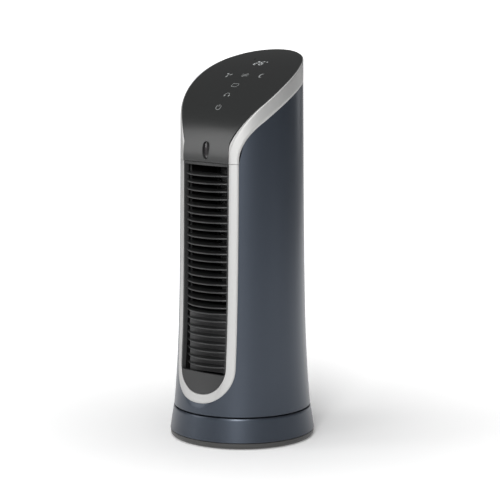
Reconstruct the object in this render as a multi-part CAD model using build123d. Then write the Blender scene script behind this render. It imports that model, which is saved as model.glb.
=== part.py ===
from build123d import *
import os
from math import sin, cos, tan, pi, radians, degrees, sqrt, exp, asin, atan2, acos

os.makedirs("parts", exist_ok=True)

# ---------------------------------------------------------------- driving dimensions (mm, +Z up, front is -Y)
TOWER_R = 95.0            # radius of the straight upper tower
TAPER = 0.006             # how fast the tower widens towards the floor, per mm
FLARE_R = 9.5             # extra radius at the foot of the tower
FLARE_H = 100.0           # height over which the flare fades out
FRONT_FLAT = 9.0          # depth by which the front of the tower is flattened
FRONT_FADE = 40.0         # height over which the flattening fades out at the foot
FRONT_START = 58.0        # the flattening begins this high
FRONT_Y = 215.0           # plan centre of the shallow front arc, behind the tower's axis
WALL = 2.6                # housing wall
TRIM_T = 4.5              # thickness of the bright trim
FIT = 0.25                # assembly gap between neighbouring fixed mouldings

BASE_R = 107.75           # base radius at its top edge
BASE_SLOPE = 0.155        # widening of the base towards the floor
FOOT_Z = 1.2              # the bottom cover stands this high on its rubber feet
COVER_TOP = 5.2           # top of the bottom cover
BASE_BOT = 5.7            # lower edge of the base shell
BASE_TOP = 47.6           # deck of the base
BODY_Z = 50.0             # lower edge of the tower: the shadow gap is BASE_TOP to BODY_Z
COVER_R = 112.3           # bottom cover radius

SPLIT_Z = 436.0           # joint between lower and upper trim
U_OUT_Z, U_IN_Z = 66.0, 79.5          # lowest points of the U, outside and inside
U_MID_Z = 125.5                       # height where the U's straight legs begin
LEG_OUT_Y, EDGE_Y = -74.5, -83.4      # plan depth of the trim's outer and inner edge
NOSE_Z, SLOPE = 440.0, 42.0           # the nose curve starts here and ends at this slope
EDGE_ARCS = (111.0, 350.0)            # nose and crown radii of the trim's inner edge
OUT_ARCS = (72.0, 300.0)              # nose and crown radii of the trim's outer edge
PANEL_CROWN = 1800.0                  # side-to-side crown of the control panel
PANEL_LIFT, PANEL_T = 2.0, 2.6

GRILLE_W = 44.0           # half-width of the air outlet
GRILLE_BOT, GRILLE_TOP = 112.5, 431.5
SLAT_TOP_Z, SLAT_PITCH, SLATS, LOUVRES = 417.0, 11.88, 18, 8
SLAT_T, SLAT_ARC_R, SLAT_ARC_C = 2.4, 65.0, 31.0
LOUVRE_DROP = 9.3         # first lower louvre below the last slat
SLAT_BACK = -68.0         # plan depth of the slats' rear edge

DUCT_BOT, DUCT_TOP, PLATE_T = 206.5, 429.0, 2.5
FAN_X, FAN_Y, FAN_R, FAN_HUB_R = 4.0, 10.0, 42.0, 30.0
FAN_BOT, FAN_TOP, BLADES, SECTIONS = 214.0, 424.0, 36, 4
SHAFT_R, STUB_R, RUN = 4.0, 3.0, 0.05
MOTOR_R, MOTOR_BOT, MOTOR_TOP = 32.0, 146.0, 194.0

POST_R, POST_TOP, NECK_R = 14.0, 57.2, 9.0
TABLE_BOT, TABLE_TOP = 50.3, 54.0
SUN_N, PINION_N, MODULE = 48, 12, 1.25
GEAR_Z0, GEAR_Z1 = 57.2, 63.2
SWING = 35.0              # oscillation to each side, degrees
STOP_R, STOP_PIN = 48.0, 3.0

made = []


def save(name, *solids):
    """Write one named piece; a group of identical fasteners stays separate solids."""
    flat = [s for item in solids for s in (item.solids() if hasattr(item, "solids") else [item])]
    shape = flat[0] if len(flat) == 1 else Compound(children=flat)
    shape.label = name
    export_step(shape, f"parts/{name}.step")
    made.append((name, len(flat), round(sum(s.volume for s in flat) / 1000, 2)))


def cyl(r, z0, z1, x=0.0, y=0.0):
    return Pos(x, y, (z0 + z1) / 2) * Cylinder(r, z1 - z0)


def tube(r1, r0, z0, z1, x=0.0, y=0.0):
    return cyl(r1, z0, z1, x, y) - cyl(r0, z0 - 1, z1 + 1, x, y)


def block(x0, x1, y0, y1, z0, z1):
    return Pos((x0 + x1) / 2, (y0 + y1) / 2, (z0 + z1) / 2) * Box(x1 - x0, y1 - y0, z1 - z0)


def tower_r(z):
    return TOWER_R + TAPER * (495.0 - z) + FLARE_R * exp(-(z - BODY_Z) / FLARE_H)


def front_d(z):
    return tower_r(z) - FRONT_FLAT * (1 - exp(-(z - FRONT_START) / FRONT_FADE))


def steps(z0, z1, n):
    return [z0 + (z1 - z0) * i / n for i in range(n + 1)]


def tower(inset, z0, z1, flat_front=True):
    """Solid tower form between two heights, its skin moved inwards by inset."""
    n = max(3, int((z1 - z0) / 22))
    heights = steps(z0, z1, n)
    if z1 - z0 > 60:
        heights = [z0 + (z1 - z0) * (i / n) ** 1.35 for i in range(n + 1)]
    parts = []
    for radius, axis_y in ((tower_r, 0.0), (front_d, FRONT_Y))[:2 if flat_front else 1]:
        side = Spline(*[(0, -(radius(z) - inset), z) for z in heights])
        lo, hi = -(radius(z0) - inset), -(radius(z1) - inset)
        rest = Polyline((0, hi, z1), (0, axis_y, z1), (0, axis_y, z0), (0, lo, z0))
        parts.append(revolve(make_face([side, *rest.edges()]), Axis((0, axis_y, 0), (0, 0, 1))))
    return parts[0] & parts[1] if flat_front else parts[0]


def shell(t0, t1, z0, z1):
    return tower(t0, z0, z1) - tower(t1, z0 - 2, z1 + 2)


def slope_face(y0, arcs, off=0.0, lift=0.0, low=0.0):
    """Side view of the sloping top: a nose arc, then a long shallow arc, as a closed face in the YZ plane."""
    s, z0 = radians(SLOPE), NOSE_Z + lift
    r1, r2 = arcs[0] - off, arcs[1] - off
    c1 = (y0 + arcs[0], z0)
    c2 = (c1[0] - arcs[0] * sin(s) + arcs[1] * sin(s), c1[1] + arcs[0] * cos(s) - arcs[1] * cos(s))
    on1 = lambda a: (0, c1[0] - r1 * sin(a), c1[1] + r1 * cos(a))
    on2 = lambda a: (0, c2[0] - r2 * sin(a), c2[1] + r2 * cos(a))
    end = asin((c2[0] - 112.0) / r2)
    nose = ThreePointArc((0, y0 + off, z0), on1((pi / 2 + s) / 2), on1(s))
    back = ThreePointArc(on1(s), on2((s + end) / 2), on2(end))
    rest = Polyline(on2(end), (0, 112.0, low), (0, y0 + off, low), (0, y0 + off, z0))
    return make_face([nose, back, *rest.edges()])


def under(y0, arcs, off=0.0, lift=0.0, low=0.0):
    return extrude(slope_face(y0, arcs, off, lift, low), 130, dir=(1, 0, 0), both=True)


def u_prism(half, z_low, grow=0.0, z_top=SPLIT_Z):
    """Front view of the U, pushed through the front half of the tower."""
    w, drop = half + grow, U_MID_Z - z_low + grow
    bow = Pos(0, -70, U_MID_Z) * Rot(90, 0, 0) * extrude(Ellipse(w, drop), 70, both=True)
    return block(-w, w, -140, 0, U_MID_Z, z_top) + (bow & block(-w - 1, w + 1, -140, 0, 0, U_MID_Z + 0.01))


LEG_OUT = sqrt(tower_r(SPLIT_Z) ** 2 - LEG_OUT_Y ** 2)
LEG_IN = sqrt(tower_r(SPLIT_Z) ** 2 - EDGE_Y ** 2)


def above(y0, arcs, z_low=SPLIT_Z, off=0.0, lift=0.0):
    """Everything in front of and above the sloping line, from z_low up."""
    return block(-130, 130, -130, 130, z_low, 660) - under(y0, arcs, off, lift)


# ---------------------------------------------------------------- tower: housing and bright trim
outer_cut = u_prism(LEG_OUT, U_OUT_Z) + above(LEG_OUT_Y, OUT_ARCS)
inner_cut = u_prism(LEG_IN, U_IN_Z) + above(EDGE_Y, EDGE_ARCS)
TOP = 604.0

housing = shell(0, WALL, BODY_Z, TOP) - outer_cut
INTAKE_Z0, INTAKE_PITCH, INTAKE_ROWS, INTAKE_H = 222.0, 6.8, 30, 3.4
slot_cut = []
reach = 140 * tan(radians(11))
wedge = extrude(make_face(Polyline((0, 0), (140, -reach), (140, reach), (0, 0))), 700)
for i in range(INTAKE_ROWS):
    z = INTAKE_Z0 + i * INTAKE_PITCH
    for ang in (-37.5, -12.5, 12.5, 37.5):
        slot_cut.append(tube(110, 80, z, z + INTAKE_H) & (Rot(0, 0, 90 + ang) * wedge))
housing = housing - slot_cut

BOSS_R, BOSS_AT, BOSS_ANG = 4.2, 92.0, (45, 135, 225, 315)
boss_xy = [(BOSS_AT * cos(radians(a)), BOSS_AT * sin(radians(a))) for a in BOSS_ANG]
for x, y in boss_xy:
    boss = cyl(BOSS_R, TABLE_TOP, 82, x, y)
    web = Pos(0, 0, 70) * Rot(0, 0, degrees(atan2(y, x))) * Pos(98, 0, 0) * Box(10.8, 3, 24)
    housing = housing + (boss + web)
    housing = housing - cyl(1.6, TABLE_TOP - 1, 76, x, y)
save("housing", housing)

lip_out = u_prism(LEG_OUT, U_OUT_Z, 3.5) + above(LEG_OUT_Y + 3.5, (OUT_ARCS[0] - 3.5, OUT_ARCS[1] - 3.5))
trim_all = (shell(0, TRIM_T, BODY_Z, TOP) & outer_cut) + (shell(WALL + FIT, TRIM_T, BODY_Z, TOP) & lip_out)
trim_all = trim_all - inner_cut - block(-LEG_IN, LEG_IN, -140, 0, SPLIT_Z - 1, 700)
trim_low = trim_all & block(-130, 130, -130, 0, 0, SPLIT_Z - 0.15)
trim_top = trim_all & block(-130, 130, -130, 130, SPLIT_Z + 0.15, 700)
save("lower_trim", trim_low)

# ---------------------------------------------------------------- control panel and what sits in it
axis_z = 560.0 - PANEL_CROWN
halves = []
for off in (0.0, PANEL_T):
    face = slope_face(EDGE_Y - 0.5, EDGE_ARCS, off, PANEL_LIFT, low=380)
    face = face.rotate(Axis((0, 0, axis_z), (0, 1, 0)), -6.5)
    halves.append(revolve(face, Axis((0, 0, axis_z), (0, 1, 0)), 13))
over_split = block(-130, 130, -130, 130, SPLIT_Z + 0.15, 700)
panel_zone = (tower(TRIM_T + FIT, 430, TOP, False)
              + block(-LEG_IN + FIT, LEG_IN - FIT, -100, -40, 430, 520)) & over_split
panel = (halves[0] & panel_zone) - halves[1]
skirt = (tower(TRIM_T + FIT, 430, TOP, False) - tower(TRIM_T + FIT + 2.0, 428, TOP + 2, False)) & over_split
skirt = (skirt & halves[0]) - under(EDGE_Y, EDGE_ARCS, 9.0)
panel = panel + skirt

LENS_Z, LENS_W, LENS_H = 454.0, 12.6, 28.0
oval = lambda w, h, y0, y1: Pos(0, y0, LENS_Z) * Rot(90, 0, 0) * extrude(
    SlotOverall(h, w, rotation=90), -(y1 - y0))
panel_front = EDGE_Y - 0.5
panel = panel - oval(LENS_W, LENS_H, panel_front - 3, panel_front + 1.2)
panel = panel - oval(LENS_W - 4.6, LENS_H - 4.6, panel_front - 3, panel_front + 9)
panel = panel - oval(LENS_W + 1.4, LENS_H + 1.4, panel_front + PANEL_T + 0.05, panel_front + 9)
lens = oval(LENS_W - 5.0, LENS_H - 5.0, panel_front + 0.3, panel_front + 3.0)
lens = lens + oval(LENS_W + 1, LENS_H + 1, panel_front + PANEL_T + 0.1, panel_front + 4.4)
SENSOR_X, SENSOR_Y = -17.0, 50.0
s = radians(SLOPE)
c1y, c1z = EDGE_Y - 0.5 + EDGE_ARCS[0], NOSE_Z + PANEL_LIFT
c2y = c1y + (EDGE_ARCS[1] - EDGE_ARCS[0]) * sin(s)
c2z = c1z - (EDGE_ARCS[1] - EDGE_ARCS[0]) * cos(s)


def crown(y):
    """Height and slope of the panel's centre line on its long arc."""
    a = asin((c2y - y) / EDGE_ARCS[1])
    return c2z + EDGE_ARCS[1] * cos(a), degrees(a)


def on_crown(y, depth=0.0, x=0.0):
    z, a = crown(y)
    return Pos(x, y, z) * Rot(a, 0, 0) * Pos(0, 0, -depth)


sensor = on_crown(SENSOR_Y, 2.0, SENSOR_X) * Cylinder(1.4, 4.6)
panel = panel - on_crown(SENSOR_Y, 0.0, SENSOR_X) * Cylinder(1.6, 12)
BOARD_Y, BOARD_L, BOARD_W, BOARD_DEPTH = 10.0, 86.0, 96.0, 15.0
for x in (-40, 40):
    for y in (-36, 36):
        panel = panel + on_crown(BOARD_Y, BOARD_DEPTH) * Pos(x, y, 6.8) * Cylinder(2.6, 11.95)
save("control_panel", panel)
save("remote_lens", lens)
save("light_sensor", sensor - on_crown(SENSOR_Y, -4.0, SENSOR_X) * Cylinder(4, 8))

save("upper_trim", trim_top)

board = on_crown(BOARD_Y, BOARD_DEPTH) * Box(BOARD_W, BOARD_L, 1.6)
display = on_crown(40.0, 9.6) * Box(30, 16, 7)
save("control_board", board)
save("display_module", display - on_crown(BOARD_Y, BOARD_DEPTH + 9) * Box(200, 200, 19.6))
print("shells done")

# ---------------------------------------------------------------- front grille: frame, slats, lower louvres
grille_zone = u_prism(LEG_IN - FIT, U_IN_Z + FIT, z_top=SPLIT_Z - 0.15 - FIT)
frame = shell(0.9, 6.5, BODY_Z, 470) & grille_zone
outlet = block(-GRILLE_W, GRILLE_W, -130, -50, GRILLE_BOT, GRILLE_TOP)
grille = frame - outlet


def slat(z, t=SLAT_T):
    front = extrude(Pos(0, -SLAT_ARC_C) * Circle(SLAT_ARC_R), t)
    return Pos(0, 0, z - t / 2) * (front & block(-GRILLE_W - 1.2, GRILLE_W + 1.2, -130, SLAT_BACK, -1, t + 1))


slat_z = [SLAT_TOP_Z - i * SLAT_PITCH for i in range(SLATS)]
louvre_z = [slat_z[-1] - LOUVRE_DROP - i * SLAT_PITCH for i in range(LOUVRES)]
rails = [block(sx * GRILLE_W - 0.4 + (0 if sx > 0 else -1.8), sx * GRILLE_W + 0.4 + (1.8 if sx > 0 else 0),
               -80.2, SLAT_BACK, GRILLE_BOT - 2, GRILLE_TOP + 2) for sx in (-1, 1)]
grille = grille + rails + [slat(z) for z in slat_z + louvre_z]
save("front_grille", grille)

BLANK_X0 = -33.0
BLANK_TOP = DUCT_BOT - FIT
blank = block(BLANK_X0, GRILLE_W - 0.8, SLAT_BACK + FIT, SLAT_BACK + 2.2, GRILLE_BOT, BLANK_TOP)
blank = blank + block(BLANK_X0, BLANK_X0 + 2, SLAT_BACK + FIT, -50, GRILLE_BOT, BLANK_TOP)
save("outlet_blank", blank)
print("grille done")

# ---------------------------------------------------------------- air duct with scroll and tongue
floor_zone = u_prism(LEG_OUT, U_OUT_Z, 4.5, z_top=SPLIT_Z + 20)


def plate(z0, z1):
    front = tower(TRIM_T + 2.4, z0, z1) & block(-130, 130, -65.6, 130, z0, z1)
    return (tower(WALL + 2 * FIT, z0, z1) - floor_zone) + front


def spiral(r, a):
    return (FAN_X + r * cos(radians(a)), FAN_Y + r * sin(radians(a)))


R0, A0 = FAN_R + 4.5, 22.0
tx, ty = GRILLE_W + 0.5 - FAN_X, -65.6 - FAN_Y
R1, A1 = sqrt(tx * tx + ty * ty), degrees(atan2(ty, tx))
curve = lambda t, add=0.0: spiral(R0 * (R1 / R0) ** t + add, A0 + (A1 - A0) * t)
inner = Spline(*[curve(t / 8) for t in range(9)])
outer = Spline(*[curve(t / 8, 2.0) for t in range(9)])
scroll = extrude(make_face([inner, Line(curve(1), curve(1, 2.0)), outer, Line(curve(0, 2.0), curve(0))]),
                 DUCT_TOP - DUCT_BOT)
TONGUE_X, TONGUE_Y, TONGUE_R = -45.2, -5.0, 4.0
tongue = Pos(TONGUE_X, TONGUE_Y) * Cylinder(TONGUE_R, DUCT_TOP - DUCT_BOT, align=(Align.CENTER, Align.CENTER,
                                                                                  Align.MIN))
tongue = tongue + block(-GRILLE_W - 2.5, -GRILLE_W - 0.5, -65.6, TONGUE_Y, 0, DUCT_TOP - DUCT_BOT)
duct = plate(DUCT_BOT, DUCT_BOT + PLATE_T) + Pos(0, 0, DUCT_BOT) * (scroll + tongue)
LEGS = [(62, 28), (-62, 28), (58, -38), (-58, -38)]
for x, y in LEGS:
    duct = duct + block(x - 4, x + 4, y - 4, y + 4, TABLE_TOP, DUCT_BOT + 1)
duct = duct - cyl(9.0, DUCT_BOT - 1, DUCT_BOT + PLATE_T + 1, FAN_X, FAN_Y)
MOUNT_AT = 40.0
around = lambda r, a, x=0.0, y=0.0: (x + r * cos(radians(a)), y + r * sin(radians(a)))
mount_xy = [around(MOUNT_AT, a, FAN_X, FAN_Y) for a in (45, 135, 225, 315)]
for x, y in mount_xy:
    duct = duct - cyl(1.7, DUCT_BOT - 1, DUCT_BOT + PLATE_T + 1, x, y)
save("air_duct", duct)

top_plate = plate(DUCT_TOP, DUCT_TOP + PLATE_T)
top_plate = top_plate + cyl(10, DUCT_TOP, DUCT_TOP + 9, FAN_X, FAN_Y)
top_plate = top_plate - cyl(6.0 + FIT, DUCT_TOP - 1, DUCT_TOP + 7.2, FAN_X, FAN_Y)
top_plate = top_plate - cyl(STUB_R + 0.8, DUCT_TOP, DUCT_TOP + 12, FAN_X, FAN_Y)
top_plate = top_plate & block(-130, 130, -65.6, 130, 0, 700)
save("duct_cover", top_plate)
save("upper_bearing", tube(6.0, STUB_R + RUN, DUCT_TOP, DUCT_TOP + 7.0, FAN_X, FAN_Y))

# ---------------------------------------------------------------- cross-flow impeller
chord, camber = FAN_R - FAN_HUB_R - 0.6, 2.6
blades = []
for i in range(BLADES):
    a = 360.0 * i / BLADES
    mid = ThreePointArc((FAN_HUB_R + 0.4, 0), (FAN_HUB_R + 0.4 + chord / 2, camber), (FAN_R - 0.2, 1.2))
    b = extrude(make_face([mid, Line((FAN_R - 0.2, 1.2), (FAN_R - 0.2, 2.3)),
                           ThreePointArc((FAN_R - 0.2, 2.3), (FAN_HUB_R + 0.4 + chord / 2, camber + 1.3),
                                         (FAN_HUB_R + 0.4, 1.1)),
                           Line((FAN_HUB_R + 0.4, 1.1), (FAN_HUB_R + 0.4, 0))]), FAN_TOP - FAN_BOT - 1)
    blades.append(Rot(0, 0, a) * b)
discs = [cyl(FAN_R, 0, 2.2), cyl(FAN_R, FAN_TOP - FAN_BOT - 2.2, FAN_TOP - FAN_BOT)]
for k in range(1, SECTIONS):
    z = (FAN_TOP - FAN_BOT) * k / SECTIONS
    discs.append(tube(FAN_R, FAN_HUB_R - 1, z - 0.9, z + 0.9))
hub = cyl(8.0, 0, 16)
stub = cyl(STUB_R, FAN_TOP - FAN_BOT - 3, DUCT_TOP + 6.0 - FAN_BOT) + cyl(7, FAN_TOP - FAN_BOT - 8,
                                                                          FAN_TOP - FAN_BOT)
impeller = (discs[0] + discs[1:] + blades + [hub, stub]) - cyl(SHAFT_R + RUN, -1, 13)
save("impeller", Pos(FAN_X, FAN_Y, FAN_BOT) * impeller)
print("impeller done")

# ---------------------------------------------------------------- fan motor
at = Pos(FAN_X, FAN_Y, 0)
case = cyl(MOTOR_R, MOTOR_BOT, MOTOR_TOP) - cyl(MOTOR_R - 2, MOTOR_BOT + 2, MOTOR_TOP - 2)
case = case + cyl(8, MOTOR_TOP - 4, MOTOR_TOP + 5) + cyl(8, MOTOR_BOT - 4, MOTOR_BOT + 4)
case = case - cyl(SHAFT_R + RUN, MOTOR_BOT - 10, MOTOR_TOP + 10)
save("motor_case", at * case)
save("motor_stator", at * (tube(MOTOR_R - 2.2, 18.6, MOTOR_BOT + 9, MOTOR_TOP - 9) - [
    Rot(0, 0, 30 * k) * Pos(22.6, 0, 170) * Box(6, 2.4, 60) for k in range(12)]))
rotor = cyl(18.0, MOTOR_BOT + 8, MOTOR_TOP - 8) + cyl(SHAFT_R, MOTOR_BOT - 8, FAN_BOT + 12.5)
save("motor_shaft", at * rotor)
bracket = tube(42.0, 9.0, MOTOR_TOP + 0.0, MOTOR_TOP + 2.0)
for a in (45, 135, 225, 315):
    x, y = MOUNT_AT * cos(radians(a)), MOUNT_AT * sin(radians(a))
    bracket = bracket + cyl(6, MOTOR_TOP, MOTOR_TOP + 2, x, y) - cyl(3.3, MOTOR_TOP - 1, MOTOR_TOP + 3, x, y)
save("motor_bracket", at * bracket)
grommets, bolts = [], []
for x, y in mount_xy:
    g = tube(3.2, 1.7, MOTOR_TOP - 2, DUCT_BOT, x, y)
    g = g + tube(5.5, 1.7, MOTOR_TOP - 3, MOTOR_TOP - 0.05, x, y)
    g = g + tube(5.5, 1.7, MOTOR_TOP + 2.05, DUCT_BOT, x, y)
    grommets.append(g)
    bolts.append(cyl(1.5, MOTOR_TOP - 4, DUCT_BOT + PLATE_T + 3, x, y)
                 + cyl(3.0, MOTOR_TOP - 5.2, MOTOR_TOP - 3.05, x, y)
                 + cyl(2.9, DUCT_BOT + PLATE_T + 0.05, DUCT_BOT + PLATE_T + 2.6, x, y))
save("motor_grommets", *grommets)
save("motor_bolts", *bolts)

# ---------------------------------------------------------------- turntable and oscillation drive
table = tower(WALL + FIT, TABLE_BOT, TABLE_TOP) + cyl(20, TABLE_BOT, POST_TOP - 0.4)
table = table - cyl(POST_R + RUN, 40, 70)
sweep_half = SWING + degrees(asin((STOP_PIN + 0.25) / STOP_R))
sector = make_face(Polyline((0, 0), *[(90 * cos(radians(-90 + a)), 90 * sin(radians(-90 + a)))
                                      for a in steps(-sweep_half, sweep_half, 8)], (0, 0)))
slot = tube(STOP_R + STOP_PIN + 0.5, STOP_R - STOP_PIN - 0.5, 40, 60) & Pos(0, 0, 40) * extrude(sector, 20)
table = table - slot
for x, y in boss_xy:
    table = table - cyl(1.7, 40, 60, x, y) - cyl(3.4, 40, TABLE_BOT + 1.6, x, y)
for x, y in LEGS:
    table = table + (block(x - 6, x + 6, y - 6, y + 6, TABLE_TOP, 62)
                     - block(x - 4 - FIT, x + 4 + FIT, y - 4 - FIT, y + 4 + FIT, TABLE_TOP, 63))
GM_Y = MODULE * (SUN_N + PINION_N) / 2
GM_R, GM_Z0, GM_Z1, EAR = 20.0, 67.0, 85.0, 27.0
for sx in (-1, 1):
    table = table + cyl(4.0, TABLE_TOP, GM_Z0, sx * EAR, GM_Y) - cyl(1.3, 58, GM_Z0 + 1, sx * EAR, GM_Y)
for x in (-36, 36):
    table = table + block(x - 4, x + 4, 59, 66.6, TABLE_TOP, 66) - block(x - 5, x + 5, 61.8, 63.8, 59.9, 67)
save("turntable", table)
HEAD_Z = TABLE_BOT + 0.2
save("turntable_screws", *[cyl(1.5, HEAD_Z, 74, x, y) + cyl(3.1, HEAD_Z, HEAD_Z + 1.35, x, y)
                           for x, y in boss_xy])


def gear(n, m, z0, z1, turn=0.0, slim=0.12):
    """Straight spur gear from involute flanks; slim thins each tooth for backlash."""
    rp, ra, rf = m * n / 2, m * n / 2 + m, m * n / 2 - 1.2 * m
    rb = rp * cos(radians(20))
    inv = lambda a: tan(a) - a
    half = pi / (2 * n) - slim / (2 * rp) + inv(radians(20))
    pts = []
    start = max(rb, rf)
    for k in range(n):
        mid = 2 * pi * k / n
        flank = []
        for r in steps(start, ra, 4):
            a = half - inv(acos(min(1.0, rb / r)))
            flank.append((r, a))
        if rf < start:
            flank.insert(0, (rf, flank[0][1]))
        for r, a in flank:
            pts.append((r * cos(mid - a), r * sin(mid - a)))
        for r, a in reversed(flank):
            pts.append((r * cos(mid + a), r * sin(mid + a)))
    pts.append(pts[0])
    return Pos(0, 0, z0) * Rot(0, 0, turn) * extrude(make_face(Polyline(*pts)), z1 - z0)


FLAT = 7.0
neck = cyl(NECK_R, POST_TOP - 1, GEAR_Z1 - 0.2) & block(-FLAT, FLAT, -20, 20, 0, 100)
bore = cyl(NECK_R + 0.1, 50, 70) & block(-FLAT - 0.1, FLAT + 0.1, -20, 20, 0, 100)
sun = gear(SUN_N, MODULE, GEAR_Z0, GEAR_Z1, 90.0) - bore
save("fixed_gear", sun)
pinion = Pos(0, GM_Y, 0) * (gear(PINION_N, MODULE, GEAR_Z0 + 0.3, GEAR_Z1 - 0.3, 90.0 + 180.0 / PINION_N)
                            + cyl(5.0, GEAR_Z1 - 0.3, GEAR_Z1 + 1.2) + cyl(2.5, GEAR_Z1, GM_Z0 + 8))
save("drive_pinion", pinion)
gm = cyl(GM_R, GM_Z0, GM_Z1, 0, GM_Y) + block(-EAR - 4, EAR + 4, GM_Y - 5, GM_Y + 5, GM_Z0, GM_Z0 + 1.5)
gm = gm - cyl(2.5 + RUN, GM_Z0 - 1, GM_Z0 + 8.5, 0, GM_Y)
for sx in (-1, 1):
    gm = gm - cyl(1.6, GM_Z0 - 1, GM_Z0 + 3, sx * EAR, GM_Y)
save("swing_motor", gm)
save("swing_motor_screws", *[cyl(1.2, 60, GM_Z0 + 1.5, sx * EAR, GM_Y)
                             + cyl(2.6, GM_Z0 + 1.55, GM_Z0 + 3.4, sx * EAR, GM_Y) for sx in (-1, 1)])
print("drive done")

# ---------------------------------------------------------------- base
cone = lambda inset, z0, z1: Pos(0, 0, z0) * extrude(
    Circle(BASE_R + BASE_SLOPE * (BASE_TOP - z0) - inset), z1 - z0, taper=degrees(atan2(BASE_SLOPE, 1)))
base = cone(0, BASE_BOT, BASE_TOP) - cone(WALL, BASE_BOT - 3, BASE_TOP - 3.0)
rim = base.edges().group_by(Axis.Z)[-1]
base = fillet(rim, 1.2)
base = base + cyl(POST_R, BASE_TOP - 4, POST_TOP) + neck
base = base + cyl(STOP_PIN, BASE_TOP - 1, TABLE_TOP - 0.6, 0, -STOP_R)
base = base - cyl(5.5, 30, 80)
BB_AT = 84.0
bb_xy = [(BB_AT * cos(radians(a)), BB_AT * sin(radians(a))) for a in (20, 90 + 38, 180 + 20, 270 + 38)]
for x, y in bb_xy:
    base = base + cyl(4.5, COVER_TOP + 0.1, BASE_TOP - 2, x, y) - cyl(1.6, 0, 26, x, y)
for a in (0, 180):
    base = base - cyl(1.35, POST_TOP - 4, 70, 7.2 * cos(radians(a + 90)), 7.2 * sin(radians(a + 90)))
GLAND_Z, GLAND_Y = 18.0, BASE_R + BASE_SLOPE * (BASE_TOP - 18.0)
base = base - Pos(0, GLAND_Y, GLAND_Z) * Rot(90, 0, 0) * Cylinder(6.2, 16)
RING_R0, RING_R1 = 62.0, 72.0
base = base - tube(RING_R1 + FIT, RING_R0 - FIT, BASE_TOP - 1.0, BASE_TOP + 1)
save("base_shell", base)
save("slide_ring", tube(RING_R1, RING_R0, BASE_TOP - 1.0, TABLE_BOT - 0.05))
gland = Pos(0, 0, 0.6) * Cylinder(6.0, 9.8) + Pos(0, 0, -3.4) * Cylinder(8.0, 1.6)
gland = gland + Pos(0, 0, 5.4) * Cylinder(7.6, 1.6) - Cylinder(3.2, 30)
gland = Pos(0, GLAND_Y, GLAND_Z) * Rot(90, 0, 0) * gland
save("cord_gland", gland)

cover = cyl(COVER_R, FOOT_Z, COVER_TOP - 1.2) + cyl(COVER_R - 1.6, FOOT_Z, COVER_TOP)
cover = cover - cyl(COVER_R - 6, FOOT_Z + 2.6, COVER_TOP + 1)
cover = fillet(cover.edges().group_by(Axis.Z)[0], 0.8)
for x, y in bb_xy:
    cover = cover + cyl(7, FOOT_Z + 1, COVER_TOP, x, y) - cyl(1.7, 0, 9, x, y)
    cover = cover - cyl(3.4, 0, FOOT_Z + 1.8, x, y)
feet_xy = [(94 * cos(radians(a)), 94 * sin(radians(a))) for a in (45, 135, 225, 315)]
for x, y in feet_xy:
    cover = cover - cyl(9.0 + FIT, 0, FOOT_Z + 1.2, x, y)
save("base_cover", cover)
save("rubber_feet", *[fillet(cyl(9.0, 0, FOOT_Z + 1.2, x, y).edges().group_by(Axis.Z)[0], 0.6)
                      for x, y in feet_xy])
save("base_screws", *[cyl(1.5, FOOT_Z + 0.4, 20, x, y) + cyl(3.1, FOOT_Z + 0.4, FOOT_Z + 1.75, x, y)
                      for x, y in bb_xy])
screw3 = []
for a in (0, 180):
    x, y = 7.2 * cos(radians(a + 90)), 7.2 * sin(radians(a + 90))
    screw3.append(cyl(1.25, POST_TOP - 3, GEAR_Z1 + 1.3, x, y) + cyl(1.8, GEAR_Z1 + 1.3, GEAR_Z1 + 2.6, x, y))
keeper = tube(12.0, 5.5, GEAR_Z1, GEAR_Z1 + 1.25)
for a in (0, 180):
    keeper = keeper - cyl(1.35, 50, 80, 7.2 * cos(radians(a + 90)), 7.2 * sin(radians(a + 90)))
save("gear_keeper", keeper)
save("keeper_screws", *screw3)

# ---------------------------------------------------------------- electronics on the turntable
power = block(-45, 45, 62, 63.6, 60, 142)
save("power_board", power)
save("power_transformer", block(-36, -4, 36 + 10, 61.95, 98, 126))
save("run_capacitor", Pos(22, 52.9, 108) * Cylinder(9, 34))

print("pieces:", len(made))
for name, count, vol in made:
    print(f"  {name:20s} solids {count}  volume {vol} cm3")
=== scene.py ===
# %% [markdown]
# # Tower fan: the look of the finished object
# The fan's sizes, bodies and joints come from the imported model, which is loaded first and never moved.
# Every piece made here sits in that same frame, in metres: the floor is z = 0, the swivel axis is x = y =
# 0, and the air leaves towards -Y. Lengths in this lesson are written in millimetres and scaled once, by
# MM.

# %% Load the frame
import bpy
import bmesh
from math import sin, cos, pi, radians, degrees, sqrt, exp, acos, atan2
from mathutils import Vector, Matrix


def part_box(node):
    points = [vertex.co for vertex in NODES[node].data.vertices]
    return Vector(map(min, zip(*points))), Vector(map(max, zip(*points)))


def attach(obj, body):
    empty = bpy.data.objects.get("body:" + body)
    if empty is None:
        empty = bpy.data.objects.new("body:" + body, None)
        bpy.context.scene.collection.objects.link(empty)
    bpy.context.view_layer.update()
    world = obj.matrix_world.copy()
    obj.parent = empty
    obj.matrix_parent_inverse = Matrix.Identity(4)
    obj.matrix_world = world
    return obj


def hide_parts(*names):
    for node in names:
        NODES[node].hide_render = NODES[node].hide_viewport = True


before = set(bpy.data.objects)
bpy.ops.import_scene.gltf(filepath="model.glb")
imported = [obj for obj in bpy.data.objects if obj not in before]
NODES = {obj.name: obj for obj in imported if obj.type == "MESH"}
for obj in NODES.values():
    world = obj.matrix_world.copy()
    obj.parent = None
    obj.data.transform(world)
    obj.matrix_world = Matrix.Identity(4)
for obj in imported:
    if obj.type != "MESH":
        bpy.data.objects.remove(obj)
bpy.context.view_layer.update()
MM = 0.001

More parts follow.
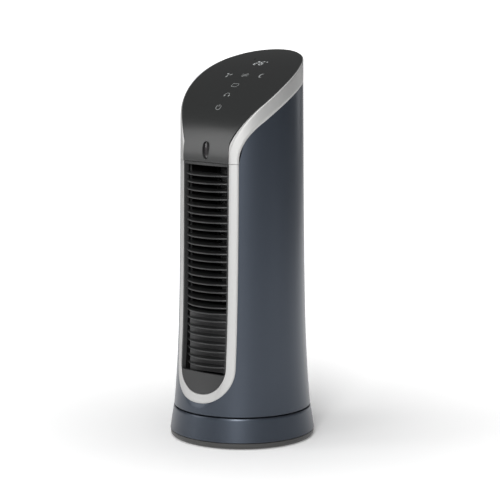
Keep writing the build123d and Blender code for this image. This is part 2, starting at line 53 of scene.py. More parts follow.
# %% [markdown]
# ## The form of the tower
# The housing is a round tube that flares at its foot, with a slightly flattened front. Two plan curves
# describe it: a circle about the swivel axis, and a much shallower arc whose centre lies behind it. At
# every height the skin is whichever of the two is nearer the axis. Writing that as a function of angle and
# height means each shell, trim or seam can be laid on the same skin, so neighbours meet exactly.

# %% Skin of the tower as a function
BODY_Z, FRONT_Y = 50.0, 215.0
WALL, TRIM_T, FIT = 2.6, 4.5, 0.25


def tower_r(z):
    return 95.0 + 0.006 * (495.0 - z) + 9.5 * exp(-(z - BODY_Z) / 100.0)


def front_d(z):
    return tower_r(z) - 9.0 * (1 - exp(-(z - 58.0) / 40.0))


def skin(theta, z, inset=0.0):
    """Point on the skin at an angle from the front, positive towards +X, moved inwards by inset."""
    rho = FRONT_Y + front_d(z) - inset
    r = min(tower_r(z) - inset, sqrt(rho * rho - (FRONT_Y * sin(theta)) ** 2) - FRONT_Y * cos(theta))
    return Vector((r * sin(theta), -r * cos(theta), z))


def theta_at(x, z):
    """Angle at which the front of the skin passes through a given x."""
    y_round = -sqrt(tower_r(z) ** 2 - x * x)
    y_front = FRONT_Y - sqrt((FRONT_Y + front_d(z)) ** 2 - x * x)
    return atan2(x, -max(y_round, y_front))


print("skin radius at foot, middle, top:", [round(skin(pi, z).y, 1) for z in (50, 300, 560)])

# %% [markdown]
# ## Turning point grids into solid pieces
# Moulded shells are thin plates that follow a surface. The simplest clean way to build one is two matching
# grids of points, outside and inside, joined by walls wherever a cell has no neighbour. Leaving cells out
# makes openings with square, closed edges, without a boolean. A bevel modifier then rounds the corners,
# because a moulded edge is never perfectly sharp.


# %% Helpers for meshes
def finish_mesh(name, verts, faces, material, **edge):
    mesh = bpy.data.meshes.new(name)
    mesh.from_pydata([tuple(Vector(v) * MM) for v in verts], [], faces)
    bm = bmesh.new()
    bm.from_mesh(mesh)
    bmesh.ops.remove_doubles(bm, verts=bm.verts, dist=2e-6)
    bmesh.ops.recalc_face_normals(bm, faces=bm.faces)
    bm.to_mesh(mesh)
    bm.free()
    return dress(bpy.data.objects.new(name, mesh), material, **edge)


def dress(piece, material, bevel=0.0, segments=2, angle=40, limit=50):
    """Link a piece, give it its finish, smooth it and round its edges."""
    mesh = piece.data
    mesh.materials.clear()
    mesh.materials.append(material)
    mesh.polygons.foreach_set("use_smooth", [True] * len(mesh.polygons))
    mesh.set_sharp_from_angle(angle=radians(angle))
    if piece.name not in bpy.context.scene.collection.objects:
        bpy.context.scene.collection.objects.link(piece)
    if bevel:
        mod = piece.modifiers.new("edge", "BEVEL")
        mod.width, mod.segments = bevel * MM, segments
        mod.limit_method, mod.angle_limit = "ANGLE", radians(limit)
        mod.harden_normals = True
    return piece


def plate_solid(outer, inner, cells, wrap=False):
    """Closed solid between two matching grids; outer[i][j] goes up with i and round with j."""
    columns = len(outer[0])
    ids, verts, faces, used = {}, [], [], {}

    def vert(side, i, j):
        key = (side, i, j % columns if wrap else j)
        if key not in ids:
            ids[key] = len(verts)
            verts.append((outer if side == 0 else inner)[i][key[2]])
        return ids[key]

    for i, j in cells:
        ring = [(i, j), (i, j + 1), (i + 1, j + 1), (i + 1, j)]
        faces.append([vert(0, *c) for c in ring])
        faces.append([vert(1, *c) for c in reversed(ring)])
        for a, b in zip(ring, ring[1:] + ring[:1]):
            pair = (faces[-2][ring.index(a)], faces[-2][ring.index(b)])
            used[pair] = (a, b)
    for (va, vb), (a, b) in used.items():
        if (vb, va) not in used:
            faces.append([vb, va, vert(1, *a), vert(1, *b)])
    return verts, faces


def sweep_solid(loops, closed_path=False):
    """Closed solid through matching cross-section loops, capped at its ends unless the path closes."""
    n, verts, faces = len(loops[0]), [], []
    for loop in loops:
        verts += loop
    last = len(loops)
    for k in range(last if closed_path else last - 1):
        a, b = k * n, ((k + 1) % last) * n
        faces += [[a + i, a + (i + 1) % n, b + (i + 1) % n, b + i] for i in range(n)]
    if not closed_path:
        faces += [list(range(n)), list(range((last - 1) * n, last * n))[::-1]]
    return verts, faces


def round_angles(count):
    return [2 * pi * k / count for k in range(count)]


def around_axis(r, *angles):
    return [(r * cos(radians(a)), r * sin(radians(a))) for a in angles]


def turned(profile, count=128, x=0.0, y=0.0):
    """Closed profile of (radius, height) pairs turned about a vertical axis."""
    loops = [[(x + r * sin(a), y - r * cos(a), z) for r, z in profile] for a in round_angles(count)]
    return sweep_solid(loops, closed_path=True)


def rod(x, y, r, heights, count):
    """Round bar about a vertical line, with a loop of points at each height."""
    return sweep_solid([[(x + r * cos(t), y + r * sin(t), z) for t in round_angles(count)] for z in heights])


def joined(*parts):
    verts, faces = [], []
    for v, f in parts:
        base = len(verts)
        verts += list(v)
        faces += [[base + i for i in face] for face in f]
    return verts, faces


def steps(a, b, n):
    return [a + (b - a) * k / n for k in range(n + 1)]


# %% [markdown]
# ## Finishes
# Each finish is a small procedural recipe on the object's own coordinates, so it needs no unwrapping and no
# picture. One helper makes what they share: a colour and a roughness that drift a little, and a fine bump.
# What differs is the scale: metallic paint has glitter over a soft orange peel, moulded plastic has an even
# grain, and rubber is coarser and duller.


# %% Helper for finishes
def finish(name, colour, vary=0.06, rough=0.4, rough_vary=0.05, metallic=0.0, scale=400.0, drift=9.0,
           bump=0.05, bump_scale=900.0, depth=0.0001, **shader):
    mat = bpy.data.materials.new(name)
    mat.use_nodes = True
    tree = mat.node_tree
    add, link = tree.nodes.new, tree.links.new
    bsdf = tree.nodes["Principled BSDF"]
    coord = add("ShaderNodeTexCoord")
    fine, broad, grain = add("ShaderNodeTexNoise"), add("ShaderNodeTexNoise"), add("ShaderNodeTexNoise")
    for noise, size in ((fine, scale), (broad, drift), (grain, bump_scale)):
        noise.inputs["Scale"].default_value = size
        noise.inputs["Detail"].default_value = 3.0
        link(coord.outputs["Object"], noise.inputs["Vector"])
    blend, share = add("ShaderNodeMath"), add("ShaderNodeMath")
    for node, kind, weight, noise in ((blend, "MULTIPLY_ADD", 0.6, fine), (share, "MULTIPLY", 0.4, broad)):
        node.operation, node.inputs[1].default_value = kind, weight
        link(noise.outputs["Fac"], node.inputs[0])
    link(share.outputs[0], blend.inputs[2])
    ramp = add("ShaderNodeValToRGB")
    ramp.color_ramp.elements[0].position, ramp.color_ramp.elements[1].position = 0.3, 0.7
    ramp.color_ramp.elements[0].color = [c * (1 - vary) for c in colour] + [1]
    ramp.color_ramp.elements[1].color = [min(1.0, c * (1 + vary)) for c in colour] + [1]
    link(blend.outputs[0], ramp.inputs["Fac"])
    link(ramp.outputs["Color"], bsdf.inputs["Base Color"])
    spread = add("ShaderNodeMapRange")
    spread.inputs["To Min"].default_value = rough - rough_vary
    spread.inputs["To Max"].default_value = rough + rough_vary
    link(blend.outputs[0], spread.inputs["Value"])
    link(spread.outputs["Result"], bsdf.inputs["Roughness"])
    relief = add("ShaderNodeBump")
    relief.inputs["Strength"].default_value = bump
    relief.inputs["Distance"].default_value = depth
    link(grain.outputs["Fac"], relief.inputs["Height"])
    link(relief.outputs["Normal"], bsdf.inputs["Normal"])
    bsdf.inputs["Metallic"].default_value = metallic
    for key, value in shader.items():
        bsdf.inputs[key.replace("_", " ").title().replace("Ior", "IOR")].default_value = value
    return mat


# %% The fan's finishes
blue_paint = finish("blue metallic paint", (0.050, 0.061, 0.080), vary=0.07, rough=0.38, rough_vary=0.03,
                    metallic=0.7, scale=1600, bump=0.06, bump_scale=260, depth=0.0002,
                    coat_weight=0.25, coat_roughness=0.25)
silver_paint = finish("satin silver paint", (0.50, 0.50, 0.495), vary=0.03, rough=0.48, rough_vary=0.03,
                      metallic=0.6, scale=1900, bump=0.04, bump_scale=320)
panel_plastic = finish("charcoal panel", (0.020, 0.021, 0.021), vary=0.05, rough=0.30, rough_vary=0.02,
                       scale=1500, bump=0.03, bump_scale=1400, coat_weight=0.1, coat_roughness=0.35)
grille_plastic = finish("grille plastic", (0.024, 0.0245, 0.025), rough=0.36, rough_vary=0.04,
                        scale=700, bump=0.12, bump_scale=2200)
wall_plastic = finish("grey wall plastic", (0.034, 0.034, 0.035), rough=0.55, scale=600,
                      bump=0.10, bump_scale=1800)
# Near black, darker than the other black plastics: the duct's own black plastic, darkened further as painted
# shade, so the parts inside the tower and the outlet rails show black.
black_plastic_and_painted_shade = finish("black duct plastic with painted shade", (0.006, 0.006, 0.006), vary=0.10, rough=0.7, scale=300,
                      bump=0.15, bump_scale=1200, specular_ior_level=0.2)
rotor_plastic = finish("impeller plastic", (0.010, 0.010, 0.011), vary=0.10, rough=0.45, scale=350,
                       bump=0.08)
cover_plastic = finish("bottom cover plastic", (0.045, 0.045, 0.044), vary=0.07, scale=500,
                       bump=0.10, bump_scale=1500)
rubber = finish("black rubber", (0.016, 0.016, 0.016), vary=0.12, rough=0.8, scale=250, bump=0.3,
                bump_scale=800, specular_ior_level=0.3)
steel = finish("zinc-plated steel", (0.60, 0.60, 0.58), vary=0.08, rough=0.3, metallic=1.0, scale=300,
               bump=0.08, bump_scale=700)
iron = finish("laminated iron", (0.30, 0.27, 0.24), vary=0.15, rough=0.5, metallic=0.8, scale=200,
              bump=0.2, bump_scale=500)
nylon = finish("natural nylon", (0.78, 0.77, 0.72), vary=0.03, scale=200, subsurface_weight=0.1)
bronze = finish("sintered bronze", (0.50, 0.34, 0.17), vary=0.12, rough=0.45, metallic=0.9, scale=900,
                bump=0.2, bump_scale=2500)
board_green = finish("board green", (0.02, 0.13, 0.06), vary=0.12, rough=0.35, scale=120, bump=0.1,
                     bump_scale=400)
part_grey = finish("moulded component grey", (0.20, 0.20, 0.21), vary=0.05, rough=0.5, bump=0.06)
lens_dark = finish("dark lens", (0.020, 0.018, 0.020), vary=0.05, rough=0.15, rough_vary=0.02, scale=200,
                   bump=0.02, coat_weight=0.5, coat_roughness=0.05)
print_grey = finish("printed marks", (0.26, 0.27, 0.27), vary=0.05, rough=0.5, scale=900)
glow = finish("display glow", (0.55, 0.57, 0.57), vary=0.04, scale=900, bump=0.02,
              emission_strength=0.12, emission_color=(0.9, 0.95, 1.0, 1.0))
print("finishes:", len([m for m in bpy.data.materials if m.use_nodes]))

# %% [markdown]
# ## Blue housing
# The housing is one injection moulding: a tube that wraps round the back and stops along the bright trim.
# Its front opening is a long U below and a sloping cut above. Booleans would leave long thin faces that
# shade badly under paint. A grid that follows the edge line keeps every face four-sided: the columns run up
# to the cut, and the ones under the U are squeezed to its bow. The air intake is 30 rows of four slots, so
# rows and columns fall on the slot edges and those cells are left out.

# %% Edge lines of the trim, shared by every neighbouring piece
LEG_OUT, LEG_IN, U_MID, SPLIT_Z = 59.79, 46.32, 125.5, 436.0
U_OUT, U_IN, NOSE_Z, SLOPE = 66.0, 79.5, 440.0, radians(42.0)
CORNER_POWER = 2 / 2.2
OUT_EDGE, IN_EDGE = (-74.5, 72.0, 300.0), (-83.4, 111.0, 350.0)


def bow_point(turn, half, low):
    """Point (x, z) of the full-cornered bow under the outlet; turn goes from -pi / 2 to pi / 2."""
    x = half * abs(sin(turn)) ** CORNER_POWER * (1 if turn > 0 else -1)
    return x, U_MID - (U_MID - low) * max(cos(turn), 0.0) ** CORNER_POWER


def edge_z(y, edge, lift=0.0):
    """Height of a sloping edge line at a depth y: a nose arc that runs into a long shallow arc."""
    y0, r1, r2 = edge
    cy, cz = y0 + r1, NOSE_Z + lift
    if y <= cy - r1 * sin(SLOPE):
        return cz + sqrt(max(r1 * r1 - (cy - y) ** 2, 0.0))
    cy, cz = cy + (r2 - r1) * sin(SLOPE), cz - (r2 - r1) * cos(SLOPE)
    return cz + sqrt(max(r2 * r2 - (cy - y) ** 2, 0.0))


def edge_on_skin(theta, edge, inset=0.0):
    """Height at which the sloping edge crosses the skin at an angle from the front."""
    z = 480.0
    for _ in range(14):
        y = -(tower_r(z) - inset) * cos(theta)
        z = max(SPLIT_Z, edge_z(y, edge)) if y > edge[0] else SPLIT_Z
    return z


print("housing top at the back:", round(edge_on_skin(pi, OUT_EDGE), 1), "mm")

# %% Rows and columns of the housing's grid
BOW, SIDE_STEPS, TOP_ROWS, STRAIGHT_TOP = 28, 14, 16, 430.0
SLOT_LOW, SLOT_STEP, SLOT_H, SLOT_ROWS = 222.0, 6.8, 3.4, 30
slot_rows = [SLOT_LOW + SLOT_STEP * i for i in range(SLOT_ROWS)]
rows = [50.0, 50.9, 54.0, 59.0, 66.0, 74.0, 83.0, 93.0, 103.0, 114.0, U_MID]
rows += steps(136, 212, 7) + [z for s in slot_rows for z in (s, s + SLOT_H)] + [STRAIGHT_TOP]
u_row, body_rows = rows.index(U_MID), len(rows)
around = [radians(a) for a in (97, 104, 111, 118, 125)]
for low, high in ((131.5, 153.5), (156.5, 178.5)):
    around += [radians(a) for a in steps(low, high, 4)]
around += [2 * pi - a for a in reversed(around)]


def housing_column(z):
    """Angles of one row's columns, from the left leg of the U over the front and round the back."""
    front = [theta_at(bow_point(pi * (k / BOW - 0.5), LEG_OUT, U_OUT)[0], z) for k in range(BOW + 1)]
    side = [front[-1] + (radians(90) - front[-1]) * k / SIDE_STEPS for k in range(1, SIDE_STEPS + 1)]
    return front + side + around + [2 * pi - a for a in reversed(side)]


def housing_grid(inset):
    grid = []
    for i in range(body_rows + TOP_ROWS):
        z_row, line = rows[min(i, body_rows - 1)], []
        for j, theta in enumerate(housing_column(z_row)):
            z = z_row
            if 0 < j < BOW and i <= u_row:
                x, bow = bow_point(pi * (j / BOW - 0.5), LEG_OUT, U_OUT)
                z = BODY_Z + (z_row - BODY_Z) * (bow - BODY_Z) / (U_MID - BODY_Z)
                theta = theta_at(x, z)
            if i >= body_rows:
                z_top = SPLIT_Z if j in (0, BOW) else edge_on_skin(theta, OUT_EDGE)
                z = STRAIGHT_TOP + (z_top - STRAIGHT_TOP) * (i - body_rows + 1) / TOP_ROWS
            line.append(skin(theta, z, inset))
        grid.append(line)
    return grid


# %% Housing
outer, inner = housing_grid(0.0), housing_grid(WALL)
columns, edges = len(outer[0]), housing_column(slot_rows[0]) + [2 * pi]
slot_cells = set()
for j in range(columns):
    mid = (edges[j] + edges[j + 1]) / 2 if j > BOW else 0
    off = abs(degrees(mid) - 180)
    if 1.5 < off < 23.5 or 26.5 < off < 48.5:
        slot_cells |= {(rows.index(s), j) for s in slot_rows}
cells = [(i, j) for i in range(body_rows + TOP_ROWS - 1) for j in range(columns)
         if (j >= BOW or i < u_row) and (i, j) not in slot_cells]
verts, faces = plate_solid(outer, inner, cells, wrap=True)
for x, y in around_axis(92, 45, 135, 225, 315):
    boss = turned([(4.2, 54.0), (4.2, 82.0), (0.4, 82.0), (0.4, 76.0), (1.6, 76.0), (1.6, 54.0)], 20, x, y)
    verts, faces = joined((verts, faces), boss)
housing = finish_mesh("housing_shell", verts, faces, blue_paint, bevel=0.45)
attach(housing, "tower")
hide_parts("housing")
print("housing faces:", len(housing.data.polygons), " slots:", len(slot_rows) * 4)

# %% [markdown]
# ## Bright trim
# A silver frame outlines the air outlet as a U and then climbs over the top of the tower as one sloping
# band. Two mouldings meet in a fine joint beside the control panel. Both are a cross-section swept between
# two lines on the skin. The section is flat where it continues the housing, turns over a soft shoulder, and
# ends in a narrow ledge against the panel. That ledge catches the light as a thin bright line, so it has to
# be real geometry.


# %% Helper for the trim
def resample(path, count):
    """Points spaced evenly along a path of (angle, height) pairs."""
    gaps = [sqrt(((a[0] - b[0]) * 95) ** 2 + (a[1] - b[1]) ** 2) for a, b in zip(path, path[1:])]
    total, out, k, run = sum(gaps), [], 0, 0.0
    for s in steps(0, total, count):
        while k < len(gaps) - 1 and run + gaps[k] < s:
            run += gaps[k]
            k += 1
        t = min(1.0, (s - run) / gaps[k])
        out.append(tuple(a + (b - a) * t for a, b in zip(path[k], path[k + 1])))
    return out


def trim_band(line_out, line_in, ledge, shoulder=1.2, deep=TRIM_T):
    """Sweep the trim's section between two lines; ledge(k, depth) is the inner wall below the skin."""
    loops = []
    for k, (a, b) in enumerate(zip(line_out, line_in)):
        width = sqrt(((a[0] - b[0]) * 95) ** 2 + (a[1] - b[1]) ** 2)
        across = lambda u, inset: skin(b[0] + (a[0] - b[0]) * u, b[1] + (a[1] - b[1]) * u, inset)
        loop = [across(1.0, TRIM_T), across(1.0, 0.45), across(1 - 0.4 / width, 0.06)]
        loop += [across(u, 0.0) for u in (0.75, 0.5, 0.3)]
        start, corner, end = across(shoulder / width, 0.0), across(0.0, 0.0), ledge(k, shoulder)
        for t in steps(0, 1, 6):
            loop.append(start * (1 - t) ** 2 + corner * 2 * t * (1 - t) + end * t * t)
        loop += [ledge(k, (shoulder + deep) / 2), ledge(k, deep), across(0.55, TRIM_T)]
        loops.append(loop)
    return loops


# %% Lower trim: the U
JOINT = 0.3


def u_line(half, z_low):
    legs = [(half, z) for z in steps(SPLIT_Z - JOINT, U_MID, 24)]
    bow = [bow_point(t, half, z_low) for t in steps(pi / 2, -pi / 2, 64)][1:-1]
    return [(theta_at(x, z), z) for x, z in legs + bow + [(-x, z) for x, z in reversed(legs)]]


inner_u = u_line(LEG_IN, U_IN)


def u_ledge(k, inset):
    """Straight back from the inner line, along Y."""
    p = skin(*inner_u[k])
    y_round = -sqrt((tower_r(p.z) - inset) ** 2 - p.x ** 2)
    y_front = FRONT_Y - sqrt((FRONT_Y + front_d(p.z) - inset) ** 2 - p.x ** 2)
    return Vector((p.x, max(y_round, y_front), p.z))


loops = trim_band(u_line(LEG_OUT - 0.05, U_OUT + 0.05), inner_u, u_ledge)
lower_trim = finish_mesh("trim_lower", *sweep_solid(loops), silver_paint, angle=50)
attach(lower_trim, "tower")
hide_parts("lower_trim")

# %% Upper trim: the sloping band
def sloping_line(x_start, edge, inset=0.0, count=150):
    """The edge line from the front joint over the top to the middle of the back, as (angle, height)."""
    start = theta_at(x_start, SPLIT_Z)
    path = [(start, SPLIT_Z + JOINT)]
    for theta in steps(start + 0.002, pi, 900):
        path.append((theta, edge_on_skin(theta, edge, inset)))
    return resample(path, count)


half_out, half_in = sloping_line(LEG_OUT, OUT_EDGE), sloping_line(LEG_IN, IN_EDGE)
whole = lambda half: half + [(2 * pi - t, z) for t, z in reversed(half[:-1])]
line_out, line_in = whole(half_out), whole(half_in)


def top_ledge(k, inset):
    """Level ledge, straight across towards the panel from the inner line."""
    p = skin(*line_in[k])
    r = tower_r(p.z) - inset
    if abs(p.y) >= r - 0.3:
        y = (r - 0.3) * (1 if p.y > 0 else -1)
        p = Vector((p.x, y, p.z + (edge_z(y, IN_EDGE) - edge_z(p.y, IN_EDGE) if y > 0 else 0.0)))
    x = sqrt(max(r * r - p.y * p.y, 0.0))
    x = max(x, LEG_IN) if p.y < -40 else x
    return Vector((min(x, abs(p.x)) * (1 if p.x >= 0 else -1), p.y, p.z))


LEDGE = 2.3
loops = trim_band(line_out, line_in, top_ledge, deep=LEDGE)
upper_trim = finish_mesh("trim_upper", *sweep_solid(loops), silver_paint, angle=50)
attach(upper_trim, "tower")
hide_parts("upper_trim")
print("trim faces:", len(lower_trim.data.polygons), len(upper_trim.data.polygons))

# %% [markdown]
# ## Control panel
# The panel is a satin charcoal moulding that closes the top of the tower: upright at the front, then a nose
# curve, then a long slope with a very slight crown. It is lofted as rows of points along that side profile,
# each row as wide as the trim leaves room for. The recess for the lens and the hole for the room sensor are
# cut with booleans afterwards, because both are small and the surface there is nearly flat.

# %% Panel surface
PANEL_EDGE, PANEL_LIFT, CROWN_Z = (-83.9, 111.0, 341.8), 2.0, 560.0 - 1800.0
PANEL_R, PANEL_SIDE = 95.3 - LEDGE - FIT, 46.0


def panel_z(x, y):
    middle = edge_z(y, PANEL_EDGE, PANEL_LIFT) - CROWN_Z
    return CROWN_Z + sqrt(middle * middle - x * x)


def panel_slope(y):
    """Angle of the panel's centre line above the horizontal at a depth y."""
    return atan2(edge_z(y + 0.5, PANEL_EDGE) - edge_z(y - 0.5, PANEL_EDGE), 1.0)


def panel_width(y, z):
    cylinder = sqrt(max(PANEL_R ** 2 - y * y, 4.0))
    return max(cylinder, PANEL_SIDE) if y < -40 and z < 520 else cylinder


profile = [(PANEL_EDGE[0], z) for z in steps(SPLIT_Z + 0.2, 440.5, 3)]
y0, r1, r2 = PANEL_EDGE
for a in steps(pi / 2, SLOPE, 30):
    profile.append((y0 + r1 - r1 * sin(a), NOSE_Z + PANEL_LIFT + r1 * cos(a)))
start = profile[-1][0]
top_angles = (45, 50, 55, 60, 65, 70, 74, 78, 82, 85, 88)
for y in steps(start, 60, 30)[1:] + [PANEL_R * sin(radians(a)) for a in top_angles]:
    profile.append((y, edge_z(y, PANEL_EDGE, PANEL_LIFT)))
outer, inner = [], []
for k, (y, z) in enumerate(profile):
    width = panel_width(y, z)
    (ya, za), (yb, zb) = profile[max(k - 1, 0)], profile[min(k + 1, len(profile) - 1)]
    along = Vector((0, yb - ya, zb - za)).normalized()
    normal = Vector((0, -along.z, along.y))
    row = [Vector((width * u, y, z if z < 442 else CROWN_Z + sqrt((z - CROWN_Z) ** 2 - (width * u) ** 2)))
           for u in steps(-1, 1, 32)]
    outer.append(row)
    inner.append([p - normal * 2.6 for p in row])
cells = [(i, j) for i in range(len(outer) - 1) for j in range(32)]
panel = finish_mesh("panel_shell", *plate_solid(outer, inner, cells), panel_plastic)


def cut(piece, cutter):
    """Take cutter's volume out of piece and leave plain mesh behind."""
    mod = piece.modifiers.new("cut", "BOOLEAN")
    mod.object, mod.operation, mod.solver = cutter, "DIFFERENCE", "EXACT"
    graph = bpy.context.evaluated_depsgraph_get()
    mesh = bpy.data.meshes.new_from_object(piece.evaluated_get(graph))
    piece.modifiers.remove(mod)
    piece.data = mesh
    bpy.data.objects.remove(cutter)


# %% Openings in the panel
LENS_W, LENS_H, LENS_Z = 12.6, 28.0, 454.0


def oval_loop(w, h, y):
    return [Vector((w / 2 * cos(t), y, LENS_Z + h / 2 * sin(t))) for t in round_angles(48)]


opening = sweep_solid([oval_loop(LENS_W, LENS_H, y) for y in (-95, -76)])
cut(panel, finish_mesh("cutter", *opening, panel_plastic))
SENSOR = (-17.0, 50.0)
tilt = Matrix.Rotation(panel_slope(SENSOR[1]), 3, "X")
sensor_spot = Vector((*SENSOR, panel_z(*SENSOR)))
hole = [[sensor_spot + tilt @ Vector((1.6 * cos(t), 1.6 * sin(t), h)) for t in round_angles(24)]
        for h in (-6, 4)]
cut(panel, finish_mesh("cutter", *sweep_solid(hole), panel_plastic))
dress(panel, panel_plastic, bevel=0.5, angle=35, limit=55)
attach(panel, "tower")
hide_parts("control_panel")
print("panel faces:", len(panel.data.polygons))

# %% [markdown]
# ## Remote-control lens
# Behind the oval recess lies a dark, slightly domed window with a soft raised collar. The recess wall is
# its own ring, so the rim can be rounded and catch a line of light. Ovals in rows, joined in order, make
# both.

# %% Lens and its collar
ring = [(LENS_W, LENS_H, -84.15), (12.2, 27.6, -84.35), (11.6, 27.0, -84.3), (11.0, 26.4, -83.7),
        (10.4, 25.8, -81.6), (10.2, 25.6, -79.9), (12.9, 28.3, -79.9), (12.9, 28.3, -83.0)]
collar = finish_mesh("lens_collar", *sweep_solid([oval_loop(*size) for size in ring], True), panel_plastic)
dome = [(10.6, 25.8, -80.0), (10.6, 25.8, -81.3), (9.4, 24.4, -81.9), (6.8, 20.0, -82.35), (3.0, 12.0, -82.6),
        (0.6, 3.0, -82.65)]
lens = finish_mesh("lens_window", *sweep_solid([oval_loop(*size) for size in dome]), lens_dark)
for piece, slot_name in ((collar, "panel_black"), (lens, "lens_dark")):
    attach(piece, "tower")
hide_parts("remote_lens")
print("lens window:", [round(v / MM, 1) for v in lens.dimensions])

# %% [markdown]
# ## Printed touch marks and the number display
# The panel has no moving keys: the touch areas are printed marks over a board underneath. Each mark is a
# thin ribbon along a drawn line, a tenth of a millimetre proud of the panel, so it bends with the crown and
# stays sharp in close views. The figures are seven-bar digits that shine faintly through the panel.


# %% Helpers for marks
def on_panel(a, b, spot, lift):
    """Point of the panel at a across and b up the slope from a spot (x, y)."""
    x, y = spot[0] + a, spot[1] + b * cos(panel_slope(spot[1]))
    tilt = panel_slope(y)
    return Vector((x, y - sin(tilt) * lift, panel_z(x, y) + cos(tilt) * lift))


def ribbon(path, width, spot, closed=False):
    """Thin solid strip along a path of (across, up) pairs."""
    loops, n = [], len(path)
    for k, (a, b) in enumerate(path):
        p = path[(k - 1) % n] if closed or k else path[k]
        q = path[(k + 1) % n] if closed or k < n - 1 else path[k]
        d = Vector((q[0] - p[0], q[1] - p[1])).normalized()
        side = Vector((-d.y, d.x)) * width / 2
        loops.append([on_panel(a + side.x * s, b + side.y * s, spot, lift)
                      for s, lift in ((1, -0.2), (1, 0.12), (-1, 0.12), (-1, -0.2))])
    return sweep_solid(loops, closed)


def arc_path(r, start, end, n=20, ca=0.0, cb=0.0, squeeze=1.0):
    return [(ca + r * cos(radians(t)), cb + squeeze * r * sin(radians(t))) for t in steps(start, end, n)]


def filled(path, spot):
    """Thin solid patch inside a closed outline."""
    return sweep_solid([[on_panel(a, b, spot, lift) for a, b in path] for lift in (-0.2, 0.12)])


# %% Marks
power = (0.0, -54.0)
marks = [ribbon(arc_path(4.6, 125, 415, 28), 0.9, power), ribbon([(0, 1.0), (0, 3.0), (0, 5.6)], 0.9, power)]
swing = (0.0, -34.5)
marks.append(ribbon(arc_path(4.4, -10, 190, 22), 0.95, swing))
marks += [filled([(a - 2.2, -0.4), (a + 2.2, -0.4), (a, -3.8)], swing) for a in (-4.4, 4.4)]
timer = (0.0, -16.0)
corners = [(-4.6, -2.2, 200), (4.0, -2.2, 290), (4.6, 2.2, 20), (-4.0, 2.2, 110)]
outline = [p for ca, cb, t in corners for p in arc_path(1.4, t - 20, t + 70, 6, ca, cb)]
marks.append(ribbon(outline, 0.75, timer, True))
boost, breeze, night = (-32.0, 5.0), (1.0, 6.0), (34.0, 6.8)
petal = [(0.6, -0.2), (2.4, -0.6), (4.4, -0.1), (5.2, 1.4), (4.3, 2.5), (2.6, 1.8), (1.0, 0.7)]
for c, s in [(cos(radians(turn)), sin(radians(turn))) for turn in (0, 120, 240)]:
    marks.append(filled([(1.3 * (c * u - s * v), 1.2 * (s * u + c * v)) for u, v in petal], boost))
for row in (-2.4, 0.0, 2.4):
    wave = [(1.2 * u, 1.15 * row + 0.9 * sin(u * 0.85) + 0.15 * u) for u in steps(-5.2, 5.2, 18)]
    marks.append(ribbon(wave, 0.85, breeze))
moon = arc_path(5.2, 60, 300, 20) + arc_path(4.7, 262, 98, 16, 2.2, 0.0)
marks.append(filled(moon, night))
touch_marks = finish_mesh("touch_marks", *joined(*marks), print_grey, angle=30)
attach(touch_marks, "tower")
print("touch marks:", len(marks), "shapes")

# %% Display figures
BARS = {"a": ((-1, 2), (1, 2)), "b": ((1, 2), (1, 0)), "c": ((1, 0), (1, -2)), "d": ((-1, -2), (1, -2)),
        "e": ((-1, 0), (-1, -2)), "f": ((-1, 2), (-1, 0)), "g": ((-1, 0), (1, 0))}
FIGURES = (2.1, 38.0)
figures = []
for shift, bars in ((-5.2, "abged"), (5.2, "afgedc")):
    for bar in bars:
        (ua, va), (ub, vb) = BARS[bar]
        line = [(shift + 2.9 * (ua + (ub - ua) * t) + 0.35 * (va + (vb - va) * t), 2.7 * (va + (vb - va) * t))
                for t in (0.13, 0.5, 0.87)]
        figures.append(ribbon(line, 1.15, FIGURES))
figures.append(ribbon(arc_path(1.1, 0, 330, 11, 12.6, 5.0), 0.55, FIGURES, True))
display = finish_mesh("display_figures", *joined(*figures), glow, angle=30)
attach(display, "tower")

# %% Room sensor
bulb = [(0.1, 0.0), (0.9, -0.05), (1.4, -0.4), (1.4, -4.6), (0.1, -4.6)]
dot = finish_mesh("room_sensor", *turned(bulb, 24), lens_dark)
dot.data.transform(Matrix.Translation((sensor_spot - Vector((0, 0, 0.35))) * MM) @ tilt.to_4x4())
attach(dot, "tower")
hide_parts("light_sensor")

# %% [markdown]
# ## Geometry Nodes toolkit
# Slats, blades, screws and feet repeat, so they are grown by small node trees with named sizes. Each tree
# ends in Realize Instances and Set Material. The result is then copied out as plain mesh: the trees are how
# the piece is made, and the mesh is what is kept.


